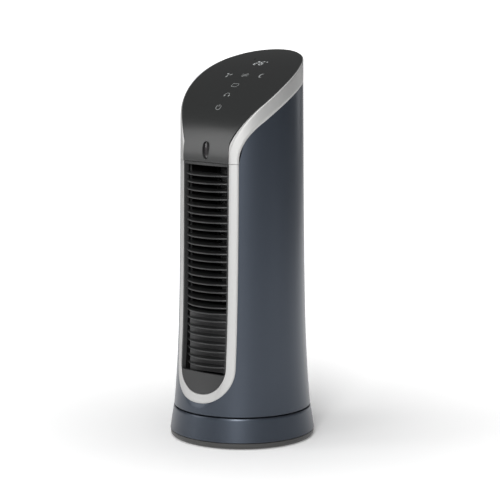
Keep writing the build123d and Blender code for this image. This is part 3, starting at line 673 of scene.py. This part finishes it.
# %% Helpers for node trees
class Tree:
    """A node tree in the making: named inputs, nodes by type, and arithmetic on sockets."""

    def __init__(self, name, **sizes):
        self.group = bpy.data.node_groups.new(name, "GeometryNodeTree")
        face = self.group.interface
        face.new_socket("Geometry", in_out="OUTPUT", socket_type="NodeSocketGeometry")
        self.keys = {}
        for label, value in sizes.items():
            kind = "NodeSocketInt" if isinstance(value, int) else "NodeSocketFloat"
            socket = face.new_socket(label, in_out="INPUT", socket_type=kind)
            socket.default_value = value
            self.keys[label] = (socket.identifier, value)
        self.entry = self.group.nodes.new("NodeGroupInput")

    def size(self, label):
        return self.entry.outputs[label]

    def put(self, kind, out=0, settings=None, **inputs):
        """Add a node by its short name, set or link its inputs, and return one of its outputs."""
        node = self.group.nodes.new(kind if kind.startswith("Shader") else "GeometryNode" + kind)
        for key, value in (settings or {}).items():
            setattr(node, key, value)
        for key, value in inputs.items():
            socket = node.inputs[int(key[1:])] if key[0] == "i" and key[1:].isdigit() else node.inputs[
                key.replace("_", " ")]
            self.feed(socket, value)
        return node.outputs[out]

    def feed(self, socket, value):
        for item in value if isinstance(value, list) else [value]:
            if isinstance(item, bpy.types.NodeSocket):
                self.group.links.new(item, socket)
            else:
                socket.default_value = item

    def math(self, kind, a, b=0.0, c=0.0):
        return self.put("ShaderNodeMath", settings={"operation": kind}, i0=a, i1=b, i2=c)

    def vec(self, x=0.0, y=0.0, z=0.0):
        return self.put("ShaderNodeCombineXYZ", X=x, Y=y, Z=z)

    def thicken(self, sheet, direction, depth):
        """Extrude a sheet and close it with its own faces turned over."""
        solid = self.put("ExtrudeMesh", Mesh=sheet, Offset=direction, Offset_Scale=depth,
                         Individual=False)
        under = self.put("FlipFaces", Mesh=sheet)
        both = self.put("JoinGeometry", Geometry=[solid, under])
        return self.put("MergeByDistance", Geometry=both, Distance=1e-6)

    def grow(self, name, geometry, material, bevel=0.0, segments=2, limit=50):
        """Finish the tree, run it, and return its result as one plain mesh object."""
        real = self.put("RealizeInstances", Geometry=geometry)
        done = self.put("SetMaterial", Geometry=real, Material=material)
        exit_node = self.group.nodes.new("NodeGroupOutput")
        self.group.links.new(done, exit_node.inputs["Geometry"])
        host = bpy.data.objects.new(name + "_host", bpy.data.meshes.new(name + "_host"))
        bpy.context.scene.collection.objects.link(host)
        mod = host.modifiers.new("nodes", "NODES")
        mod.node_group = self.group
        for identifier, value in self.keys.values():
            mod[identifier] = value
        graph = bpy.context.evaluated_depsgraph_get()
        mesh = bpy.data.meshes.new_from_object(host.evaluated_get(graph))
        bpy.data.objects.remove(host)
        return dress(bpy.data.objects.new(name, mesh), material, bevel, segments, 40, limit)


# %% [markdown]
# ## Air outlet
# The slats are curved blades set level, one above the other. Their front edges follow an arc, so the outlet
# bulges a little, and they all end on the frame's side rails. Eighteen of them cross the open air path, and
# eight more below it are blind louvres over a closed wall, which keep the pattern running down to the bow.
# One tree makes both sets: a grid is bent so that one side lies on the arc, given its thickness, and
# stacked.


# %% Slats and louvres
SLATS, LOUVRES, FIRST_SLAT, PITCH, SLAT_T = 18, 8, 417.0, 11.88, 2.4
SLAT_DROP = 9.3


def slat_tree(name, count, top):
    t = Tree(name, Count=count, Pitch=PITCH * MM, Top=top * MM, Half_width=44.9 * MM, Arc_radius=65.0 * MM,
             Arc_centre=-31.0 * MM, Back=-68.0 * MM, Thickness=SLAT_T * MM, Lift=0.9 * MM)
    width = t.math("MULTIPLY", t.size("Half_width"), 2.0)
    sheet = t.put("MeshGrid", Size_X=width, Size_Y=1.0, Vertices_X=41, Vertices_Y=5)
    place = t.put("ShaderNodeSeparateXYZ", Vector=t.put("InputPosition"))
    x, v = place, t.math("ADD", place.node.outputs["Y"], 0.5)
    radius = t.size("Arc_radius")
    reach = t.math("SUBTRACT", t.math("MULTIPLY", radius, radius), t.math("MULTIPLY", x, x))
    front = t.math("SUBTRACT", t.size("Arc_centre"), t.math("SQRT", reach))
    y = t.math("MULTIPLY_ADD", t.math("SUBTRACT", t.size("Back"), front), v, front)
    z = t.math("MULTIPLY", t.math("MULTIPLY", v, v), t.size("Lift"))
    bent = t.put("SetPosition", Geometry=sheet, Position=t.vec(x, y, z))
    blade = t.thicken(bent, t.vec(0, 0, 1), t.size("Thickness"))
    first = t.vec(0, 0, t.math("SUBTRACT", t.size("Top"), t.math("MULTIPLY", t.size("Thickness"), 0.5)))
    stack = t.put("MeshLine", Count=t.size("Count"), Start_Location=first,
                  Offset=t.vec(0, 0, t.math("MULTIPLY", t.size("Pitch"), -1.0)))
    return t, t.put("InstanceOnPoints", Points=stack, Instance=blade)


tree, stacked = slat_tree("slats", SLATS, FIRST_SLAT)
slats = tree.grow("outlet_slats", stacked, grille_plastic, bevel=1.05, segments=3)
tree, stacked = slat_tree("louvres", LOUVRES, FIRST_SLAT - (SLATS - 1) * PITCH - SLAT_DROP)
louvres = tree.grow("outlet_louvres", stacked, grille_plastic, bevel=1.05, segments=3)
print("slats:", len(slats.data.polygons), " louvres:", len(louvres.data.polygons))

# %% Frame of the outlet
OPEN_W, OPEN_BOT, OPEN_TOP = 44.0, 112.5, 431.5
RAIL_X, RAIL_Y = (43.6, 46.2), (-80.2, -68.0)
HALF, LOW = LEG_IN - FIT, U_IN + FIT
side = acos(((U_MID - OPEN_BOT) / (U_MID - LOW)) ** (1 / CORNER_POWER))


def frame_grid(inset, columns, rows):
    """columns gives (x, low, high) for each column of the frame."""
    heights = [[(x, low + (high - low) * v) for x, low, high in columns] for v in steps(0, 1, rows)]
    return [[skin(theta_at(x, z), z, inset) for x, z in row] for row in heights]


def frame_part(columns, rows):
    outer, inner = frame_grid(0.9, columns, rows), frame_grid(6.5, columns, rows)
    return plate_solid(outer, inner, [(i, j) for i in range(rows) for j in range(len(columns) - 1)])


bow = [(*bow_point(t, HALF, LOW), OPEN_BOT) for t in steps(-side * 0.995, side * 0.995, 40)]
bar = [(x, OPEN_TOP, SPLIT_Z - 0.4) for x in steps(-HALF, HALF, 30)]
parts, rails = [frame_part(bow, 10), frame_part(bar, 2)], []
for s in (-1, 1):
    edge = [(s * OPEN_W, OPEN_BOT - 0.05, OPEN_TOP + 0.05), (s * HALF, U_MID, OPEN_TOP + 0.05)]
    parts.append(frame_part(edge if s > 0 else edge[::-1], 40))
    x0, x1 = sorted(s * x for x in RAIL_X)
    corners = [(x0, RAIL_Y[0]), (x1, RAIL_Y[0]), (x1, RAIL_Y[1]), (x0, RAIL_Y[1])]
    rails.append(sweep_solid([[(x, y, z) for x, y in corners]
                              for z in steps(OPEN_BOT - 2, OPEN_TOP + 2, 24)]))
outlet_frame = finish_mesh("outlet_frame", *joined(*parts), grille_plastic, bevel=0.35)
# The rails take the near-black duct finish: painted shade on their faces.
side_rails = finish_mesh("outlet_rails", *joined(*rails), black_plastic_and_painted_shade, bevel=0.3)
bead = rod(-42.3, -70.0, 1.7, steps(FIRST_SLAT - (SLATS - 0.5) * PITCH, OPEN_TOP, 20), 20)
tongue_bead = finish_mesh("tongue_bead", *bead, grille_plastic)
for piece in (side_rails, tongue_bead):
    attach(piece, "tower")

# %% Blind wall behind the louvres
wall_line = [(-33.2, -84.2), (-28, -83.9), (-20, -82.6), (-10, -80.8), (0, -79.0), (10, -77.2), (20, -75.4),
             (30, -73.8), (38, -72.6), (43.4, -72.0)]
rear = [(x, y + 2.2) for x, y in reversed(wall_line)]
return_wall = [(-31.0, -82.5), (-31.0, -66.0), (-33.2, -66.0)]
ring = wall_line + rear[:-1] + return_wall
loops = [[(x, y, z) for x, y in ring] for z in steps(OPEN_BOT - 1.0, 206.0, 3)]
blind_wall = finish_mesh("outlet_wall", *sweep_solid(loops), wall_plastic, bevel=0.3)
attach(blind_wall, "tower")
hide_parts("outlet_blank")
for piece in (slats, louvres, outlet_frame):
    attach(piece, "tower")
    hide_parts("front_grille")

# %% [markdown]
# ## Base
# The base is a shallow cone that carries on the line of the tower below a shadow gap. A turned profile
# gives the sloping side, the rounded shoulder and the deck in one go, with enough points on the shoulder
# for a clean highlight. The bottom cover is a second turned ring, a little narrower at its top, so the base
# appears to sit on a dark lip. The cord leaves through a rubber bush at the back.

# %% Base shell
BASE_TOP, LIP_Z = 47.6, 11.0
base_r = lambda z: 107.75 + 0.155 * (BASE_TOP - z)
side = [(base_r(z), z) for z in steps(LIP_Z + 0.4, BASE_TOP - 1.3, 14)]
shoulder = [(base_r(BASE_TOP) - 1.15 + 1.2 * cos(radians(t)), BASE_TOP - 1.2 + 1.2 * sin(radians(t)))
            for t in steps(9, 90, 6)]
deck = [(80.0, BASE_TOP), (72.3, BASE_TOP), (72.3, BASE_TOP - 1.0), (61.7, BASE_TOP - 1.0), (61.7, BASE_TOP),
        (30.0, BASE_TOP), (14.6, BASE_TOP), (14.0, BASE_TOP + 0.6), (14.0, 57.0), (13.8, 57.2), (5.5, 57.2)]
inside = [(5.5, BASE_TOP - 3.0), (60.0, BASE_TOP - 3.0), (base_r(44) - 3.2, BASE_TOP - 3.0),
          (base_r(30) - 2.6, 30.0), (base_r(LIP_Z) - 2.6, LIP_Z), (base_r(LIP_Z) - 0.4, LIP_Z)]
base = finish_mesh("base_body", *turned(side + shoulder + deck + inside, 160), blue_paint)
GLAND_Z, BORE_R = 18.0, 6.2
gland_y = base_r(GLAND_Z)
bore = [[(BORE_R * cos(t), y, GLAND_Z + BORE_R * sin(t)) for t in round_angles(32)]
        for y in (gland_y - 12, gland_y + 9)]
cut(base, finish_mesh("cutter", *sweep_solid(bore), blue_paint))
dress(base, blue_paint, angle=35)
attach(base, "base")
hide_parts("base_shell")

# %% Cord bush, bottom cover
bush = [(3.2, -5.4), (3.2, 3.7), (3.5, 4.2), (5.2, 4.2), (7.4, 3.9), (8.0, 3.4), (8.0, 2.6), (6.0, 2.6),
        (6.0, -4.0), (7.6, -4.1), (7.6, -5.4)]
gland = finish_mesh("cord_bush", *turned(bush, 40), rubber, angle=30)
gland.data.transform(Matrix.Translation((0, gland_y * MM, GLAND_Z * MM)) @ Matrix.Rotation(-pi / 2, 4, "X"))
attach(gland, "base")
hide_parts("cord_gland")
COVER_R = 112.3
lip = [(-2.1, LIP_Z + 1.0), (-2.1, LIP_Z - 0.8), (0.0, LIP_Z - 1.0), (0.4, LIP_Z - 1.5), (0.5, 6.2),
       (0.2, 4.2), (-0.6, 2.6), (-1.8, 1.6), (-3.2, 1.2)]
under = [(70.0, 1.2), (69.0, 1.7), (60.0, 1.7), (59.0, 1.2), (0.6, 1.2), (0.6, 3.8)]
inside = [(-6.2, 3.8), (-4.6, 6.0), (-4.4, LIP_Z + 1.0)]
rim = [(COVER_R + r, z) for r, z in lip] + under + [(COVER_R + r, z) for r, z in inside]
cover = finish_mesh("bottom_cover", *turned(rim, 160), cover_plastic)
SCREWS, FEET = around_axis(84, 20, 128, 200, 308), around_axis(94, 45, 135, 225, 315)
wells = [rod(x, y, 9.3, (-1.0, 2.4), 40) for x, y in FEET]
for hollow in wells + [rod(x, y, 3.4, (-1.0, 3.0), 28) for x, y in SCREWS]:
    cut(cover, finish_mesh("cutter", *hollow, cover_plastic))
dress(cover, cover_plastic, angle=35)
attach(cover, "base")
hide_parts("base_cover")
print("base faces:", len(base.data.polygons), len(cover.data.polygons), len(gland.data.polygons))

# %% [markdown]
# ## Feet and screws
# Four rubber feet sit in wells in the cover, and four pan-head screws hold it. Each set is one small shape
# copied to a list of points. The screw's cross recess is a real cut, made once in the tree before copying.


# %% Feet and screws by nodes
def on_points(tree, points, instance):
    """Copy an instance to fixed points, listed in millimetres."""
    spots = [tree.put("Points", Count=1, Position=tuple(v * MM for v in p)) for p in points]
    cloud = tree.put("JoinGeometry", Geometry=spots)
    return tree.put("InstanceOnPoints", Points=cloud, Instance=instance)


t = Tree("feet", Radius=9.0 * MM, Height=2.4 * MM)
pad = t.put("MeshCylinder", Vertices=48, Radius=t.size("Radius"), Depth=t.size("Height"))
feet = t.grow("rubber_pads", on_points(t, [(x, y, 1.2) for x, y in FEET], pad), rubber, bevel=0.6, segments=3)
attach(feet, "base")
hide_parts("rubber_feet")


# %% Cover screws
def screw_set(name, points, head_r, head_h, shank_r, shank_len):
    """Pan-head screws driven upwards, with a cross recess in each head."""
    t = Tree(name, Head_radius=head_r * MM, Head_height=head_h * MM, Shank_radius=shank_r * MM,
             Shank_length=shank_len * MM, Recess=head_r * 1.15 * MM)
    move = lambda g, z: t.put("Transform", Geometry=g, Translation=t.vec(0, 0, z))
    half = lambda label, f: t.math("MULTIPLY", t.size(label), 0.5 * f)
    head = move(t.put("MeshCylinder", Vertices=32, Radius=t.size("Head_radius"),
                      Depth=t.size("Head_height")), half("Head_height", -1))
    slots = [t.put("MeshCube", Size=t.vec(*size, t.size("Head_height")))
             for size in ((t.size("Recess"), 0.55 * MM), (0.55 * MM, t.size("Recess")))]
    cross = [move(c, t.math("MULTIPLY", t.size("Head_height"), -0.95)) for c in slots]
    head = t.put("MeshBoolean", settings={"operation": "DIFFERENCE"}, Mesh_1=head, Mesh_2=cross)
    shank = move(t.put("MeshCylinder", Vertices=20, Radius=t.size("Shank_radius"),
                       Depth=t.size("Shank_length")), half("Shank_length", 1))
    both = t.put("JoinGeometry", Geometry=[head, shank])
    return t.grow(name, on_points(t, points, both), steel, bevel=0.18)


cover_screws = screw_set("cover_screws", [(x, y, 2.95) for x, y in SCREWS], 3.1, 1.35, 1.5, 16.0)
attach(cover_screws, "base")
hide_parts("base_screws")
print("feet:", len(feet.data.polygons), " screws:", len(cover_screws.data.polygons))

# %% [markdown]
# ## Impeller
# Behind the slats turns a cross-flow impeller: rings of thin forward-curved blades between discs. The
# intake slots at the back give the best view of it. A single bent blade is turned round the axis by its
# index, and the same tree stacks the discs.

# %% Impeller by nodes
stub_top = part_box("impeller")[1].z / MM
FAN = (4.0, 10.0, 214.0)
t = Tree("impeller", Blades=36, Discs=5, Outer=42.0 * MM, Inner=30.0 * MM, Length=210.0 * MM,
         Thickness=1.0 * MM, Camber=2.6 * MM)
depth = t.math("SUBTRACT", t.size("Outer"), t.size("Inner"))
chord = t.math("SUBTRACT", depth, 0.8 * MM)
sheet = t.put("MeshGrid", Size_X=1.0, Size_Y=1.0, Vertices_X=7, Vertices_Y=2)
place = t.put("ShaderNodeSeparateXYZ", Vector=t.put("InputPosition"))
u, w = t.math("ADD", place, 0.5), t.math("ADD", place.node.outputs["Y"], 0.5)
hump = t.math("MULTIPLY", u, t.math("SUBTRACT", 1.0, u))
arch = t.math("MULTIPLY", hump, t.math("MULTIPLY", t.size("Camber"), 4.0))
x = t.math("ADD", t.math("MULTIPLY_ADD", u, chord, t.size("Inner")), 0.4 * MM)
bent = t.put("SetPosition", Geometry=sheet,
             Position=t.vec(x, arch, t.math("MULTIPLY", w, t.size("Length"))))
blade = t.thicken(bent, t.vec(0, -1, 0), t.size("Thickness"))
turn = t.math("MULTIPLY", t.put("InputIndex"), t.math("DIVIDE", 2 * pi, t.size("Blades")))
hub_line = t.put("MeshLine", Count=t.size("Blades"), Offset=(0, 0, 0))
blades = t.put("InstanceOnPoints", Points=hub_line, Instance=blade, Rotation=t.vec(0, 0, turn))
ring_r = t.math("MULTIPLY", t.math("ADD", t.size("Outer"), t.size("Inner")), 0.5)
circle = t.put("CurvePrimitiveCircle", Resolution=96, Radius=ring_r)
section = t.put("CurvePrimitiveQuadrilateral", Width=depth, Height=2.0 * MM)
ring = t.put("CurveToMesh", Curve=circle, Profile_Curve=section)
gap = t.math("DIVIDE", t.math("SUBTRACT", t.size("Length"), 2.0 * MM), t.math("SUBTRACT", t.size("Discs"), 1))
tower_line = t.put("MeshLine", Count=t.size("Discs"), Start_Location=(0, 0, 1.0 * MM),
                   Offset=t.vec(0, 0, gap))
rings = t.put("InstanceOnPoints", Points=tower_line, Instance=ring)
rotor = t.grow("impeller_blades", t.put("JoinGeometry", Geometry=[blades, rings]), rotor_plastic)
rotor.data.transform(Matrix.Translation(Vector(FAN) * MM))

# %% Ends of the impeller
ends = joined(turned([(8.0, 214.0), (8.0, 230.0), (4.06, 230.0), (4.06, 214.0)], 48, FAN[0], FAN[1]),
              turned([(30.5, 214.1), (30.5, 216.0), (7.9, 216.2), (7.9, 214.1)], 96, FAN[0], FAN[1]),
              turned([(0.1, 422.0), (30.5, 422.0), (30.5, 423.9), (7.0, 423.9), (7.0, 424.0), (3.0, 424.2),
                      (3.0, stub_top - 0.3), (2.7, stub_top), (0.1, stub_top)], 96, FAN[0], FAN[1]))
hub = finish_mesh("impeller_hub", *ends, rotor_plastic)
for piece in (rotor, hub):
    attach(piece, "fan_rotor")
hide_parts("impeller")
print("impeller:", len(rotor.data.polygons), "faces, box", [round(v / MM, 1) for v in rotor.dimensions])

# %% [markdown]
# ## Finishes of the pieces kept from the model
# Everything inside keeps its exact engineering shape and only gets its material. Copying names into one
# small list keeps the choice of finish in one place.

# %% Finishes for the inner pieces
# The duct, its cover and the turntable take the near-black duct finish, which is partly painted shade.
kept = {black_plastic_and_painted_shade: ["air_duct", "duct_cover", "turntable"],
        bronze: ["upper_bearing"], nylon: ["fixed_gear", "drive_pinion", "slide_ring"],
        steel: ["motor_case", "motor_shaft", "motor_bracket", "motor_bolts", "turntable_screws",
                "swing_motor", "swing_motor_screws", "gear_keeper", "keeper_screws"],
        iron: ["motor_stator", "power_transformer"], rubber: ["motor_grommets"],
        board_green: ["control_board", "power_board"], part_grey: ["display_module", "run_capacitor"]}
for material, names in kept.items():
    for node_name in names:
        for slot in NODES[node_name].material_slots:
            slot.material = material
print("kept pieces:", sum(len(v) for v in kept.values()))

# %% [markdown]
# ## Floor, light and camera
# A white roll of paper runs under the fan and curves up low behind it, on a pale floor. The paper glows a
# little so it stays white. Its glow is weaker near the fan, so the fan's own soft shadow still shows, and the
# weaker glow is itself painted shade round the fan's foot. The key is a soft box just left of the camera, so
# the paint is brightest where it faces the camera and falls away to both sides. A tall soft box on the left
# is what the upright front of the panel mirrors, and the slope above it mirrors only the dim sky. A small
# light far behind draws the thin edge on the right, and a large one overhead lights the floor. The sky is dim
# as a light and bright as a backdrop, which a Light Path node tells apart. The camera stands well back with a
# long lens, a little above the top of the fan.

# %% Floor and paper
pale_floor = finish("pale studio floor", (0.62, 0.62, 0.62), vary=0.02, rough=0.7, scale=20, bump=0.0)
paper = finish("white paper with painted shade", (0.86, 0.86, 0.86), vary=0.005, rough=0.7, scale=20, bump=0.0,
               emission_color=(1.0, 1.0, 1.0, 1.0))
nodes, links = paper.node_tree.nodes, paper.node_tree.links
# The glow is 0.18 next to the fan and rises to 0.9 by 0.9 m away: painted shade round the fan's foot, on top
# of its real shadow.
away, glow_with_painted_shade = nodes.new("ShaderNodeVectorMath"), nodes.new("ShaderNodeMapRange")
away.operation = "LENGTH"
links.new(nodes.new("ShaderNodeTexCoord").outputs["Object"], away.inputs[0])
for key, value in (("From Min", 0.12), ("From Max", 0.9), ("To Min", 0.18), ("To Max", 0.9)):
    glow_with_painted_shade.inputs[key].default_value = value
links.new(away.outputs["Value"], glow_with_painted_shade.inputs["Value"])
links.new(glow_with_painted_shade.outputs["Result"], nodes["Principled BSDF"].inputs["Emission Strength"])
VIEW_AZIMUTH = radians(41.26)
turn = Matrix.Rotation(VIEW_AZIMUTH, 4, "Z")


def sheet_along(name, line, half, material):
    verts = [turn @ Vector((x, y, z)) / MM for y, z in line for x in (-half, half)]
    faces = [[2 * k, 2 * k + 1, 2 * k + 3, 2 * k + 2] for k in range(len(line) - 1)]
    piece = finish_mesh(name, verts, faces, material)
    return piece


roll = [(-1.0, 0.0), (3.4, 0.0)] + [(3.4 + 0.8 * sin(t), 0.8 - 0.8 * cos(t)) for t in steps(0.1, pi / 2, 14)]
sheet_along("paper_sweep", roll + [(4.2, 1.0)], 1.7, paper)
sheet_along("floor", [(-12.0, -0.003), (12.0, -0.003)], 12.0, pale_floor)


# %% Lights and sky
def soft_light(name, place, aim, size, power, size_y=None):
    data = bpy.data.lights.new(name, "AREA")
    data.shape, data.size, data.size_y, data.energy = "RECTANGLE", size, size_y or size, power
    lamp = bpy.data.objects.new(name, data)
    lamp.location = place
    lamp.rotation_euler = (Vector(aim) - Vector(place)).to_track_quat("-Z", "Y").to_euler()
    lamp.visible_camera = False
    bpy.context.scene.collection.objects.link(lamp)


middle = (0.0, 0.0, 0.3)
soft_light("key", (1.4, -2.2, 1.3), (0.0, 0.0, 0.1), 0.6, 46, 0.9)
soft_light("side", (-1.45, -1.75, 1.0), (0.0, 0.0, 0.42), 0.8, 12, 1.4)
soft_light("rim", (0.4, 2.7, 0.8), middle, 0.5, 3, 1.2)
soft_light("fill", (0.3, -0.8, 3.0), (0.0, 0.2, 0.0), 1.4, 30)
world = bpy.data.worlds.new("sky")
bpy.context.scene.world = world
world.use_nodes = True
sky = world.node_tree.nodes["Background"]
sky.inputs["Color"].default_value = (1, 1, 1, 1)
sky.inputs["Strength"].default_value = 0.14
seen = world.node_tree.nodes.new("ShaderNodeMapRange")
seen.inputs["To Min"].default_value, seen.inputs["To Max"].default_value = 0.14, 0.9
rays = world.node_tree.nodes.new("ShaderNodeLightPath")
world.node_tree.links.new(rays.outputs["Is Camera Ray"], seen.inputs["Value"])
world.node_tree.links.new(seen.outputs["Result"], sky.inputs["Strength"])
bpy.context.scene.view_settings.view_transform = "Standard"

# %% Camera
lens_data = bpy.data.cameras.new("camera")
lens_data.lens, lens_data.sensor_width = 136.56, 36.0
camera = bpy.data.objects.new("camera", lens_data)
camera.location = (1.9373, -2.1897, 0.7392)
camera.rotation_euler = (radians(81.302), 0.0, VIEW_AZIMUTH)
bpy.context.scene.collection.objects.link(camera)
bpy.context.scene.camera = camera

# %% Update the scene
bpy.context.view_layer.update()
